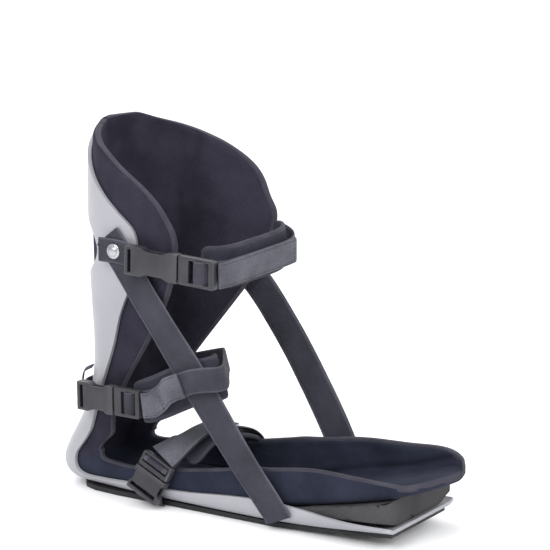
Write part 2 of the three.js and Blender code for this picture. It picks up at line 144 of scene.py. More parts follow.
def wedgeFoam():
    f = Finish("wedgeFoam", IOR=1.4)
    p = f.place()
    cells = f.node("ShaderNodeTexVoronoi", {"feature": "F1"}, {"Vector": p, "Scale": 750.0})
    tint = f.blendColour(f.remap(f.grain(p, 18), 0.3, 0.7), tone(66, 65, 68), tone(86, 85, 87))
    # the cell centres, sunk by the bump below, are darkened: painted shade in the foam's pores
    f.feed("Base Color", f.blendColour(f.remap(cells, 0.0, 0.45, 0.35, 0.0), tint, tone(40, 40, 43)))
    f.feed("Roughness", f.remap(cells, 0.0, 0.6, 0.98, 0.85))
    f.bump(cells + f.grain(p, 240), 0.4, 0.0006)
    return f.material


def brushedCloth(name, dark, light, fuzz=1.0):  # loop cloth over foam
    f = Finish(name, Specular_IOR_Level=0.12, Sheen_Weight=0.08, Sheen_Roughness=0.5,
               Sheen_Tint=tone(150, 150, 175))
    p = f.place()
    mottle, nap = f.grain(p, 28, 4), f.grain(p, 1400, 3, 0.7)
    lint = f.remap(f.grain(p, 420, 4, 0.75), 0.66, 0.74, 0, 0.4)
    base = f.blendColour(f.remap(mottle * 0.6 + nap * 0.4, 0.36, 0.64), dark, light)
    f.feed("Base Color", f.blendColour(lint * fuzz, base, tone(104, 103, 116)))
    f.feed("Roughness", f.remap(mottle, 0.3, 0.7, 0.82, 0.96))
    f.bump(nap + f.grain(p, 160, 3) * 0.8, 0.5 * fuzz, 0.0006)
    return f.material


def wovenTape(name, dark, light, ribs=1.1, edge=9.2):  # ribs run across the band, in its own run and width
    f = Finish(name, Specular_IOR_Level=0.25, Sheen_Weight=0.08, Sheen_Roughness=0.4,
               Sheen_Tint=tone(160, 160, 180))
    run, side, _ = f.axes(f.place("UV"))
    rib = f.node("ShaderNodeMath", {"operation": "SINE"}, {0: run * (2 * math.pi / (ribs * mm))})
    warp = f.node("ShaderNodeMath", {"operation": "SINE"}, {0: side * (2 * math.pi / (1.3 * mm))})
    weave = rib * warp
    p = f.place()
    paleness = f.grain(p, 40, 4)
    absSide = f.node("ShaderNodeMath", {"operation": "ABSOLUTE"}, {0: side})
    selvedge = f.remap(absSide, (edge - 1.8) * mm, (edge - 0.9) * mm)
    # mottled tone plus the weave, whose sunk crossings are darker: painted shade in the weave
    base = f.blendColour(f.remap(weave * 0.35 + paleness, 0.25, 0.8), dark, light)
    # the last two millimetres or so toward each edge are paler, in patches
    paleRim = selvedge * f.remap(paleness, 0.3, 0.7, 0.25, 0.6)
    f.feed("Base Color", f.blendColour(paleRim, base, tone(112, 111, 124)))
    f.feed("Roughness", f.remap(weave, -1, 1, 0.78, 0.62))
    f.bump(weave * 0.6 + rib * 0.7 + f.grain(p, 900), 0.45, 0.0005)
    return f.material


def hookTape():  # the paler loop face of the folded tabs
    f = Finish("hookTape", Specular_IOR_Level=0.25, Sheen_Weight=0.12, Sheen_Roughness=0.4,
               Sheen_Tint=tone(200, 200, 215))
    p = f.place()
    run, side, _ = f.axes(f.place("UV"))
    pile = f.node("ShaderNodeTexVoronoi", {"feature": "F1"}, {"Vector": p, "Scale": 1100.0})
    rib = f.node("ShaderNodeMath", {"operation": "SINE"}, {0: side * (2 * math.pi / (2.2 * mm))})
    base = f.blendColour(f.remap(f.grain(p, 35, 4), 0.3, 0.7), tone(86, 86, 96), tone(120, 121, 131))
    # the pits between the loops, sunk by the bump below, are darkened: painted shade
    pileShade = f.remap(pile + rib * 0.08, 0.1, 0.6, 0.5, 0.0)
    f.feed("Base Color", f.blendColour(pileShade, base, tone(66, 66, 76)))
    f.feed("Roughness", f.remap(pile, 0, 0.6, 0.9, 0.75))
    f.bump(pile + rib * 0.25, 0.5, 0.0005)
    return f.material


def buckleAcetal():
    f = Finish("buckleAcetal", IOR=1.48, Coat_Weight=0.05, Coat_Roughness=0.3)
    p = f.place()
    rub = f.grain(p, 70, 4)
    # the convex edges are lightened by pointiness: a painted highlight, the edges catching light
    paleness = f.node("ShaderNodeNewGeometry", out="Pointiness")
    base = f.blendColour(f.remap(rub, 0.3, 0.7), tone(40, 40, 46), tone(52, 52, 59))
    f.feed("Base Color", f.blendColour(f.remap(paleness, 0.52, 0.6, 0, 0.5), base, tone(120, 120, 130)))
    f.feed("Roughness", f.remap(f.grain(p, 160), 0.3, 0.7, 0.36, 0.5))
    f.bump(f.grain(p, 1800, 2), 0.12, 0.0003)
    return f.material


def rivetSteel():
    f = Finish("rivetSteel", Metallic=1.0, IOR=2.5)
    p = f.place()
    f.feed("Base Color", f.blendColour(f.grain(p, 180), tone(190, 192, 198), tone(226, 227, 231)))
    f.feed("Roughness", f.remap(f.grain(p, 400), 0.3, 0.7, 0.16, 0.3))
    f.bump(f.grain(p, 700), 0.06, 0.0002)
    return f.material


shellFinish, soleFinish, foamFinish = mouldedShell(), soleRubber(), wedgeFoam()
linerFinish = brushedCloth("linerCloth", tone(36, 35, 47), tone(62, 60, 74))
footFinish = brushedCloth("footCloth", tone(33, 37, 52), tone(56, 60, 77))
padFinish = brushedCloth("padCloth", tone(46, 46, 57), tone(74, 74, 87), 1.3)
# the binding's lighter tones are partly its own colour and partly a painted highlight of the rim catching
# light
bindingFinish = wovenTape("bindingTape", tone(52, 51, 63), tone(84, 83, 96), 1.0, 30)
webFinish = wovenTape("webbing", tone(44, 44, 55), tone(78, 77, 90), 1.2, 10)
wideFinish = wovenTape("wideWebbing", tone(50, 50, 61), tone(76, 77, 89), 1.2, 13)
hookFinish, buckleFinish, steelFinish = hookTape(), buckleAcetal(), rivetSteel()
threadFinish = wovenTape("thread", tone(70, 70, 82), tone(100, 100, 112), 0.6, 30)
print("finishes ready:", len(bpy.data.materials))


def makePiece(name, points, faces, finish, body, nodes=(), uvs=None, smooth=True):
    # points in millimetres; uvs one pair per corner in metres
    mesh = bpy.data.meshes.new(name)
    mesh.from_pydata([tuple(c * mm for c in p) for p in points], [], faces)
    if uvs is not None:
        layer = mesh.uv_layers.new(name="tape")
        layer.data.foreach_set("uv", np.array(uvs, np.float32).ravel())
    mesh.update()
    piece = bpy.data.objects.new(name, mesh)
    bpy.context.scene.collection.objects.link(piece)
    turnOut(piece)
    dress(piece, finish, body, nodes)
    if smooth:
        mesh.shade_smooth()
    return piece


def turnOut(piece):
    work = bmesh.new()
    work.from_mesh(piece.data)
    bmesh.ops.recalc_face_normals(work, faces=work.faces)
    work.to_mesh(piece.data)
    work.free()


def dress(piece, finish, body, nodes=()):
    piece.data.materials.clear()
    piece.data.materials.append(finish)
    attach(piece, body)
    if nodes:
        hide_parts(*nodes)


def applyModifiers(piece):
    graph = bpy.context.evaluated_depsgraph_get()
    done = bpy.data.meshes.new_from_object(piece.evaluated_get(graph))
    piece.modifiers.clear()
    old = piece.data
    piece.data = done
    bpy.data.meshes.remove(old)


def roundEdges(piece, width, segments=3, angle=32):
    bevel = piece.modifiers.new("round", "BEVEL")
    bevel.width, bevel.segments = width * mm, segments
    bevel.limit_method, bevel.angle_limit = "ANGLE", math.radians(angle)
    applyModifiers(piece)
    piece.data.shade_smooth()
    piece.data.set_sharp_from_angle(angle=math.radians(50))


def polished(node, finish, body, width):  # the node's own shape with its edges broken
    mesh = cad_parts[node].data.copy()
    work = bmesh.new()
    work.from_mesh(mesh)
    bmesh.ops.remove_doubles(work, verts=work.verts, dist=0.00002)
    bmesh.ops.dissolve_limit(work, angle_limit=math.radians(3), verts=work.verts, edges=work.edges)
    work.to_mesh(mesh)
    work.free()
    piece = bpy.data.objects.new(node + "_moulding", mesh)
    bpy.context.scene.collection.objects.link(piece)
    dress(piece, finish, body, [node])
    roundEdges(piece, width)
    return piece


def inflate(piece, pins, pressure, cap, frames=20):
    # lets air into a closed cloth piece; pinned points stay, and no point moves further than cap
    rest = np.array([v.co for v in piece.data.vertices])
    piece.vertex_groups.new(name="pins").add(pins, 1.0, "REPLACE")
    cloth = piece.modifiers.new("swell", "CLOTH")
    knobs = cloth.settings
    knobs.quality, knobs.mass = 5, 0.2
    knobs.tension_stiffness = knobs.compression_stiffness = knobs.shear_stiffness = 12
    knobs.bending_stiffness = 0.4
    knobs.use_pressure, knobs.uniform_pressure_force = True, pressure
    knobs.effector_weights.gravity = 0
    knobs.vertex_group_mass = "pins"
    cloth.collision_settings.use_collision = False
    cloth.point_cache.frame_end = frames
    for step in range(1, frames + 1):
        bpy.context.scene.frame_set(step)
    shape = piece.evaluated_get(bpy.context.evaluated_depsgraph_get()).to_mesh()
    moved = np.array([v.co for v in shape.vertices]) - rest
    reach = np.linalg.norm(moved, axis=1)
    moved *= (np.minimum(reach, cap * mm) / np.maximum(reach, 1e-9))[:, None]
    piece.modifiers.clear()
    piece.vertex_groups.clear()
    bpy.context.scene.frame_set(1)
    for vertex, place in zip(piece.data.vertices, rest + moved):
        vertex.co = place
    print("swelled", piece.name, "by up to", round(float(reach.max()) / mm, 1), "mm before the cap")


def soften(piece, levels=1):
    piece.modifiers.new("soft", "SUBSURF").levels = levels
    applyModifiers(piece)
    piece.data.shade_smooth()


def catmull(rows, t):  # even Catmull-Rom through rows of numbers, t counted in rows
    last = len(rows) - 1
    i = int(min(max(t, 0), last - 1e-9))
    w = min(max(t, 0), last) - i
    b, c = rows[i], rows[i + 1]
    a = rows[i - 1] if i > 0 else 2 * rows[0] - rows[1]
    d = rows[i + 2] if i + 2 <= last else 2 * rows[last] - rows[last - 1]
    return b + 0.5 * w * ((c - a) + w * ((2 * a - 5 * b + 4 * c - d) + w * (3 * b - a - 3 * c + d)))


def centripetal(points, t):
    last = len(points) - 1
    i = int(min(t, last - 1e-9))
    w = t - i
    b, c = points[i], points[i + 1]
    a = points[i - 1] if i > 0 else 2 * points[0] - points[1]
    d = points[i + 2] if i + 2 <= last else 2 * points[last] - points[last - 1]
    u0, u1, u2 = (max(np.linalg.norm(q - p), 1e-6) ** 0.5 for p, q in ((a, b), (b, c), (c, d)))
    t1 = ((b - a) / u0 - (c - a) / (u0 + u1) + (c - b) / u1) * u1
    t2 = ((c - b) / u1 - (d - b) / (u1 + u2) + (d - c) / u2) * u1
    return b + w * (t1 + w * ((-3 * b + 3 * c - 2 * t1 - t2) + w * (2 * b - 2 * c + t1 + t2)))


def unit(v):
    return v / max(np.linalg.norm(v), 1e-9)


def track(route, step=1.5):  # evenly spaced points along a smooth route, their directions and distances
    route = np.array(route, float)
    fine = np.array([centripetal(route, t) for t in np.linspace(0, len(route) - 1, 60 * len(route))])
    run = np.concatenate([[0], np.cumsum(np.linalg.norm(np.diff(fine, axis=0), axis=1))])
    even = np.linspace(0, run[-1], max(int(run[-1] / step), 4) + 1)
    points = np.stack([np.interp(even, run, fine[:, k]) for k in range(3)], 1)
    ahead = np.gradient(points, axis=0)
    return points, ahead / np.linalg.norm(ahead, axis=1)[:, None], even


# the moulded trough that shell and liner share:
# x, z, half width, corner radius, shell depth, liner depth, from the calf's top round the heel to the toe
spine = np.array([
    [-42, 311, 61, 61, 1, 3.6], [-42.5, 305, 61, 61, 1, 15.3], [-43, 299, 61, 61, 1.5, 35.4],
    [-43.4, 290, 61, 61, 8, 61.2], [-44, 275, 60.5, 60.5, 22, 86], [-44.4, 260, 60, 60, 39, 103.3],
    [-44.5, 245, 59.5, 59.5, 58, 114], [-44.5, 230, 59, 59, 74, 122], [-44.3, 208, 58, 58, 75, 119],
    [-44, 185, 56, 56, 66, 110], [-43.4, 160, 52.5, 52.5, 53, 94], [-42.6, 132, 48.5, 48.5, 42, 74],
    [-43.8, 106, 45, 45, 31, 57], [-48, 84, 43, 43, 25, 48], [-54.5, 66, 42, 42, 27, 49],
    [-63, 49, 41.5, 41.5, 31, 57], [-70.5, 34.5, 41, 41, 34, 62], [-73.8, 20.5, 41, 38, 31, 60],
    [-67, 9.6, 41, 32, 24, 54], [-52, 4.9, 41, 26, 15, 43], [-25, 4.3, 41.5, 20, 10.5, 32],
    [8, 4.3, 42.5, 15, 10, 26], [60, 4.3, 44.5, 13, 12, 32], [110, 4.3, 46.5, 13, 17, 41],
    [146, 4.6, 47.5, 13, 18.5, 46], [185, 6.8, 50, 13, 15, 45], [225, 10.8, 53.5, 13, 7, 40],
    [262, 14.9, 57, 13, 3, 38]], float)
toeRows = np.array([
    [128, 7, 47, 13, 0, 42], [146, 11.6, 47.5, 13, 0, 39.5], [185, 20.3, 48, 13, 0, 36.5],
    [225, 29, 50, 13, 0, 28.5], [250, 34.5, 49.5, 13, 0, 23.5], [270, 39.7, 43.5, 13, 0, 17.8],
    [284, 43.8, 32, 13, 0, 13.4], [293, 47, 18.5, 13, 0, 10.6], [296.6, 49.4, 11, 11, 0, 8.4],
    [298.2, 51.2, 5, 5, 0, 6.8]], float)
heelSeam = 18
footRows = np.vstack([spine[heelSeam - 2:24], toeRows])


def troughOf(rows, depthColumn, lean=lambda station: 0.0):
    def point(station, share, inset):  # share runs from -1 at the near edge to +1 at the far edge
        row = catmull(rows, station)
        x, z, half, corner = row[:4]
        depth = max(row[depthColumn] + lean(station) * share, 0.6)
        toX, toZ = max(12 - x, 0), max(55 - z, 0)
        length = math.hypot(toX, toZ)
        toX, toZ = toX / length, toZ / length
        flat = half - corner
        quarter = math.acos(1 - depth / corner) if depth < corner else math.pi / 2
        along = abs(share) * (flat + quarter * corner + max(depth - corner, 0))
        y, n, sideways, inwards = along, 0.0, 0.0, 1.0
        if along > flat:
            angle = min((along - flat) / corner, math.pi / 2)
            sideways, inwards = math.sin(angle), math.cos(angle)
            y, n = flat + corner * sideways, corner * (1 - inwards)
        straight = max(along - flat - corner * math.pi / 2, 0)
        n += straight
        y += 0.0038 * straight * straight if corner > 40 else 0
        y = max(y - inset * sideways, 0.12 * y)  # the walls meet at the toe's tip
        n += inset * inwards
        return np.array([x + n * toX, math.copysign(y, share) if share else 0.0, z + n * toZ])
    return point


def calfLean(station):
    return 5 + 16 * math.exp(-((station - 3.5) / 2) ** 2)


def footLean(station):
    return 3 + 2.7 * math.exp(-((station - 13) / 1.6) ** 2)


shellAt, calfAt, footAt = troughOf(spine, 4), troughOf(spine, 5, calfLean), troughOf(footRows, 5, footLean)


def gridFaces(rows, columns, start=0, flip=False):
    faces = []
    for i in range(rows - 1):
        for j in range(columns - 1):
            a = start + i * columns + j
            quad = (a, a + 1, a + columns + 1, a + columns)
            faces.append(quad[::-1] if flip else quad)
    return faces


def rimFaces(rows, columns, offset):  # closes two equal grids along their four borders
    loop = [j for j in range(columns)] + [i * columns + columns - 1 for i in range(1, rows)]
    loop += [(rows - 1) * columns + j for j in range(columns - 2, -1, -1)]
    loop += [i * columns for i in range(rows - 2, 0, -1)]
    return [(a, b, b + offset, a + offset) for a, b in zip(loop, loop[1:] + loop[:1])]


def closedPlate(outer, inner):
    rows, columns = outer.shape[:2]
    points = np.concatenate([outer.reshape(-1, 3), inner.reshape(-1, 3)])
    faces = gridFaces(rows, columns) + gridFaces(rows, columns, rows * columns, True)
    return points, faces + rimFaces(rows, columns, rows * columns)


shellSpec = {"wall": 3.0, "top": 2, "rows": 230, "columns": 90,
             "ventX": 0, "ventZ": 212, "ventHalf": (52, 33)}


def ventCutter():
    ring = [(shellSpec["ventHalf"][0] * math.cos(a), shellSpec["ventHalf"][1] * math.sin(a))
            for a in np.linspace(0, 2 * math.pi, 96, endpoint=False)]
    points = [(x, y, shellSpec["ventZ"] + z) for x in (-66, shellSpec["ventX"]) for y, z in ring]
    count = len(ring)
    faces = [(i, (i + 1) % count, count + (i + 1) % count, count + i) for i in range(count)]
    faces += [tuple(range(count))[::-1], tuple(range(count, 2 * count))]
    mesh = bpy.data.meshes.new("ventCutter")
    mesh.from_pydata([tuple(c * mm for c in p) for p in points], [], faces)
    cutter = bpy.data.objects.new("ventCutter", mesh)
    bpy.context.scene.collection.objects.link(cutter)
    turnOut(cutter)
    return cutter


def makeShell():
    stations = np.linspace(shellSpec["top"], len(spine) - 1, shellSpec["rows"])
    shares = np.linspace(-1, 1, shellSpec["columns"] + 1)
    outer, inner = (np.array([[shellAt(s, k, inset) for k in shares] for s in stations])
                    for inset in (0, shellSpec["wall"]))
    points, faces = closedPlate(outer, inner)
    piece = makePiece("moulded_shell", points, faces, shellFinish, "shell_frame", ["shell"])
    cutter = ventCutter()
    vent = piece.modifiers.new("vent", "BOOLEAN")
    vent.operation, vent.object, vent.solver = "DIFFERENCE", cutter, "EXACT"
    applyModifiers(piece)
    bpy.data.objects.remove(cutter)
    roundEdges(piece, 1.0, 3, 45)
    return piece


makeShell()
print("shell made")


linerSpec = {"inset": 3.7, "foam": 8.0, "edge": 4.2, "edgeReach": 12.0}


def softNoise(place, size, seed=0.0):
    return noise.noise(Vector((place[0] / size + seed, place[1] / size, place[2] / size)))


def padProfile(distance, spec):  # foam thickness at a distance from the bound edge
    t = min(distance / spec["edgeReach"], 1)
    return spec["edge"] + (spec["foam"] - spec["edge"]) * math.sqrt(1 - (1 - t) ** 2)


def makeLiner(name, at, stations, shares, openTop, openEnd, seams, finish, nodes, swell):
    # a grid from edge to edge; seams are grooves as (station, share) to depth functions
    rows, columns = len(stations), len(shares)
    face = np.array([[at(s, k, linerSpec["inset"] + linerSpec["foam"]) for k in shares] for s in stations])
    back = np.array([[at(s, k, linerSpec["inset"]) for k in shares] for s in stations])
    across = np.cumsum(np.linalg.norm(np.diff(face, axis=1), axis=2), axis=1)
    across = np.concatenate([np.zeros((rows, 1)), across], axis=1)
    down = np.cumsum(np.linalg.norm(np.diff(face, axis=0), axis=2), axis=0)
    down = np.concatenate([np.zeros((1, columns)), down], axis=0)
    pins = []
    for i in range(rows):
        for j in range(columns):
            nearest = min(across[i, j], across[i, -1] - across[i, j])
            if openTop:
                nearest = min(nearest, down[i, j])
            if openEnd:
                nearest = min(nearest, down[-1, j] - down[i, j])
            through = face[i, j] - back[i, j]
            depth = np.linalg.norm(through)
            thick = padProfile(nearest, linerSpec)
            groove = sum(seam(stations[i], shares[j]) for seam in seams)
            wrinkle = 0.5 * softNoise(face[i, j], 26, 3.1) + 0.35 * softNoise(face[i, j], 11, 7.7)
            slack = min(nearest / 14, 1)
            lift = (linerSpec["foam"] - thick) * 0.5
            direction = through / depth
            back[i, j] = back[i, j] + direction * lift
            sunk = linerSpec["foam"] - thick - lift + groove - wrinkle * slack
            face[i, j] = face[i, j] - direction * sunk
            if nearest < 2.5 or groove > 1.2:
                pins.append(rows * columns + i * columns + j)
    points, faces = closedPlate(back, face)
    piece = makePiece(name, points, faces, finish, "shell_frame", nodes)
    inflate(piece, list(range(rows * columns)) + pins, swell["pressure"], swell["cap"])
    soften(piece)
    return piece, face, back


def seamAt(share, depth, width, first, last):  # a groove that runs down the liner at one share
    def groove(station, k):
        if not first <= station <= last:
            return 0.0
        return depth * math.exp(-((k - share(station)) / width) ** 2)
    return groove


calfStations = np.concatenate([np.linspace(0, 1, 9)[:-1], np.linspace(1, heelSeam + 0.06, 104)])
calfShares = np.linspace(-1, 1, 67)
footStations = np.linspace(1.7, len(footRows) - 1, 136)
footShares = np.linspace(-1, 1, 61)


def calfCrease(station):
    return 0.48 + 0.37 * max((6 - station) / 3, 0) ** 1.6


def footCrease(station):
    return 0.64 + 0.32 * max((station - 8.5) / 5, 0) ** 1.3


calfSeams = [seamAt(calfCrease, 2.6, 0.035, 2.2, 12), seamAt(lambda s: -calfCrease(s), 2.0, 0.035, 2.2, 12)]
footSeams = [seamAt(footCrease, 2.2, 0.03, 4, 15), seamAt(lambda s: -footCrease(s), 2.2, 0.03, 4, 15)]


def eased(rows, times):  # neighbours averaged a few times over, the ends kept
    rows = np.array(rows)
    for _ in range(times):
        rows = np.vstack([rows[:1], (rows[:-2] + rows[1:-1] * 2 + rows[2:]) / 4, rows[-1:]])
    return rows


def borderOf(face, back, order):  # middle of the rim, the way into the piece and the way through it
    middle, inward, through = [], [], []
    rows, columns = face.shape[:2]
    for i, j in order:
        di = 3 if i == 0 else -3 if i == rows - 1 else 0
        dj = 3 if j == 0 else -3 if j == columns - 1 else 0
        here = (face[i, j] + back[i, j]) / 2
        into = unit(face[i + di, j + dj] + back[i + di, j + dj] - 2 * here)
        middle.append(here)
        inward.append(into)
        through.append(unit(face[i, j] - back[i, j]))
    return eased(middle, 2), eased(inward, 6), eased(through, 6)


def sweep(name, path, first, second, half, finish, body, nodes=(), sides=14, power=0.6):
    # a closed tube along a path, its section a rounded oblong on two directions
    points, uvs, faces = [], [], []
    run = np.concatenate([[0], np.cumsum(np.linalg.norm(np.diff(path, axis=0), axis=1))])
    angles = np.linspace(0, 2 * math.pi, sides, endpoint=False)
    section = [(math.copysign(abs(math.cos(a)) ** power, math.cos(a)),
                math.copysign(abs(math.sin(a)) ** power, math.sin(a))) for a in angles]
    for centre, a, b in zip(path, first, second):
        b = unit(b - a * (a @ b))
        points += [centre + a * u * half[0] + b * v * half[1] for u, v in section]
    for i in range(len(path) - 1):
        for j in range(sides):
            k = (j + 1) % sides
            faces.append((i * sides + j, i * sides + k, (i + 1) * sides + k, (i + 1) * sides + j))
            v0, v1 = j * 1.1 * mm, (j + 1) * 1.1 * mm
            uvs += [(run[i] * mm, v0), (run[i] * mm, v1), (run[i + 1] * mm, v1), (run[i + 1] * mm, v0)]
    for ring in (0, len(path) - 1):
        faces.append(tuple(ring * sides + j for j in range(sides)))
        uvs += [(run[ring] * mm, j * mm) for j in range(sides)]
    return makePiece(name, points, faces, finish, body, nodes, uvs)


def edgeOrder(rows, columns, far):  # near edge, the cross edge, then the far edge
    near = [(i, 0) for i in range(rows)]
    other = [(i, columns - 1) for i in range(rows)]
    if far == "point":
        return near + other[::-1]
    if far:
        return near + [(rows - 1, j) for j in range(1, columns - 1)] + other[::-1]
    return near[::-1] + [(0, j) for j in range(1, columns - 1)] + other


calfPiece, calfFace, calfBack = makeLiner(
    "calf_padding", calfAt, calfStations, calfShares, True, False, calfSeams, linerFinish,
    ["calf_liner"], {"pressure": 3.0, "cap": 1.6})
footPiece, footFace, footBack = makeLiner(
    "foot_padding", footAt, footStations, footShares, False, True, footSeams, footFinish,
    ["foot_liner"], {"pressure": 3.0, "cap": 1.4})
bindSpec = {"half": (2.7, 2.6), "in": 1.7}
for name, face, back, far in (("calf_binding", calfFace, calfBack, False),
                              ("foot_binding", footFace, footBack, "point")):
    rim, into, through = borderOf(face, back, edgeOrder(*face.shape[:2], far))
    sweep(name, rim + into * bindSpec["in"], into, through, bindSpec["half"], bindingFinish,
          "shell_frame")
print("liner made")


def band(name, route, across, width, body, node, finish, thick=1.8, cup=0.0, wave=0.22):
    route = np.array(route, float)
    across = np.array(across if np.ndim(across) > 1 else [across, across], float)
    points, ahead, run = track(route)
    total = run[-1]
    span = [-0.5, -0.49, -0.46, -0.35, -0.2, 0.0, 0.2, 0.35, 0.46, 0.49, 0.5]
    upper = [(s, 0.5 * (1 - (abs(s) / 0.5) ** 14) + 0.06 * math.exp(-((abs(s) - 0.44) / 0.03) ** 2))
             for s in span]
    section = upper + [(s, -t) for s, t in upper[-2:0:-1]]
    sides, frames = [], []
    for centre, forward, at in zip(points, ahead, run):
        side = unit(centripetal(across, at / total * (len(across) - 1)) if len(across) > 2 else across[0])
        side = unit(side - forward * (side @ forward))
        up = np.cross(forward, side)
        sway = wave * softNoise(centre, 24, len(name))
        frames.append((centre + up * sway, forward, side, up))
    count = len(section)
    verts, uvs, faces = [], [], []
    for i, (centre, forward, side, up) in enumerate(frames):
        half = width * (1 + 0.006 * softNoise(centre, 15, 2.0))
        for s, t in section:
            verts.append(centre + side * s * half + up * (t * thick - cup * (2 * s) ** 2))
    for i in range(len(frames) - 1):
        for j in range(count):
            k = (j + 1) % count
            faces.append((i * count + j, i * count + k, (i + 1) * count + k, (i + 1) * count + j))
            sj, sk = section[j][0] * width * mm, section[k][0] * width * mm
            uvs += [(run[i] * mm, sj), (run[i] * mm, sk), (run[i + 1] * mm, sk), (run[i + 1] * mm, sj)]
    for ring in (0, len(frames) - 1):
        faces.append(tuple(ring * count + j for j in range(count)))
        uvs += [(run[ring] * mm, section[j][0] * width * mm) for j in range(count)]
    piece = makePiece(name, verts, faces, finish, body, [node] if node else [], uvs)
    piece.data.set_sharp_from_angle(angle=math.radians(60))

    def surface(along, s, lift=0.0):  # along in mm from the start, s in mm across
        i = min(int(along / total * (len(frames) - 1)), len(frames) - 1)
        centre, forward, side, up = frames[i]
        return centre + side * s + up * (thick / 2 + lift - cup * (2 * s / width) ** 2), forward, side, up
    return surface, total


def stitches(name, body, rows, long=2.3, pitch=3.0):
    # rows of (surface, start along, end along, start across, end across); one small thread loop a stitch
    verts, faces, uvs = [], [], []
    ring = [(0.34 * math.cos(a), 0.34 * math.sin(a))
            for a in np.linspace(0, 2 * math.pi, 6, endpoint=False)]
    for surface, a0, a1, s0, s1 in rows:
        count = max(int(math.hypot(a1 - a0, s1 - s0) / pitch), 1)
        for n in range(count + 1):
            w = n / count
            centre, forward, side, up = surface(a0 + (a1 - a0) * w, s0 + (s1 - s0) * w)
            way = unit(forward * (a1 - a0) + side * (s1 - s0))
            flat = np.cross(way, up)
            base = len(verts)
            for t, wide in ((-0.5, 0.45), (-0.3, 1.0), (0.3, 1.0), (0.5, 0.45)):
                verts += [centre + way * t * long + flat * u * wide + up * (v * wide + 0.1 - 0.9 * t * t)
                          for u, v in ring]
            for r in range(3):
                for j in range(6):
                    k = (j + 1) % 6
                    here = base + r * 6
                    faces.append((here + j, here + k, here + 6 + k, here + 6 + j))
            faces += [tuple(base + j for j in range(6))[::-1], tuple(base + 18 + j for j in range(6))]
    for face in faces:
        uvs += [(0.001 * i, 0.0) for i in range(len(face))]
    return makePiece(name, verts, faces, threadFinish, body, (), uvs)


def boxStitch(surface, a0, a1, half):  # the usual square with a cross in it
    return [(surface, a0, a1, -half, -half), (surface, a0, a1, half, half), (surface, a0, a0, -half, half),
            (surface, a1, a1, -half, half), (surface, a0, a1, -half, half), (surface, a0, a1, half, -half)]


face = 60.2  # how far out the shell's walls stand beside the rivets
up = (0, 0, 1)
tension = {
    "near": {"run": [(4, -face - 1, 226), (13, -face - 1, 215), (38, -63.4, 184), (62, -64.6, 154),
                     (99, -63, 104), (128, -58, 59), (149, -53.4, 28), (157, -51.3, 15.5),
                     (159.6, -50, 10)],
             "across": [(0.7, 0, 0.72), (0.7, 0, 0.72), (0.72, 0.02, 0.69), (0.76, 0.16, 0.63),
                        (0.85, 0.08, 0.5), (0.92, 0, 0.4), (1, 0, 0.15)], "width": 26},
    "far": {"run": [(3, face + 1, 221), (13, face + 1, 215), (40, 64.5, 195), (64, 68.6, 171),
                    (95, 68.2, 132), (124, 64, 92), (148, 58, 58), (163, 54, 32), (169, 52.4, 20),
                    (172, 51.6, 12)],
            "across": [(0.5, 0, 0.85), (0.78, 0, 0.62), (0.84, 0, 0.54), (0.92, 0, 0.4), (1, 0, 0.15)],
            "width": 29}}
for word, spec in tension.items():
    surface, total = band(word + "_tension_webbing", spec["run"], spec["across"], spec["width"],
                          "shell_frame", word + "_tension_strap", wideFinish, cup=0.25)
    edge = spec["width"] / 2 - 2
    stitches(word + "_tension_stitching", "shell_frame", [
        (surface, 22, total - 8, -edge, -edge), (surface, 22, total - 8, edge, edge)])

band("calf_strap_webbing", [
    (90, -69.2, 210), (102, -70.1, 210), (113.5, -70.2, 210), (119, -64.5, 210), (120.6, -50, 210),
    (121, -25, 210), (121, 5, 210), (120.3, 24, 210), (116, 42, 210), (107.5, 56.5, 210.5), (95, 69, 211),
    (80, 78.4, 211), (55, 78.4, 211), (28, 73.6, 211.5)], up, 20, "calf_strap", "upper_webbing",
    webFinish)
calfTab, _ = band("calf_strap_near_tab", [
    (-2, -face - 3.6, 215), (13, -face - 3.6, 215), (20, -face - 3.9, 214.5), (35, -65.7, 212.8)],
    up, 20, "calf_cuff", "upper_strap_tab", webFinish)
farTab, _ = band("calf_strap_far_tab", [
    (-2, face + 3.6, 213), (13, face + 3.7, 213), (18, face + 4, 212.8), (22, 65.4, 212.6), (30, 68, 212.2),
    (40, 70.4, 211.5)], (0, 0, -1), 20, "calf_cuff", "upper_strap_far_tab", webFinish)
calfFlap, calfLong = band("calf_strap_hook_flap", [
    (121.6, -76.6, 209.8), (123.4, -69, 210), (124.2, -51, 210.2), (124.3, -25, 210.3), (124.2, 5, 210.3),
    (124, 20, 210.3), (122.6, 36, 210.3)], up, 21, "calf_hook_tab", "upper_hook_tab", hookFinish,
    wave=0.5)
stitches("calf_strap_stitching", "calf_cuff",
         boxStitch(calfTab, 18, 31, 7) + boxStitch(farTab, 22, 36, 7))
stitches("calf_flap_stitching", "calf_hook_tab",
         [(calfFlap, 4, calfLong - 4, s, s) for s in (-8.6, 8.6)]
         + [(calfFlap, calfLong - 4, calfLong - 4, -8.6, 8.6)])

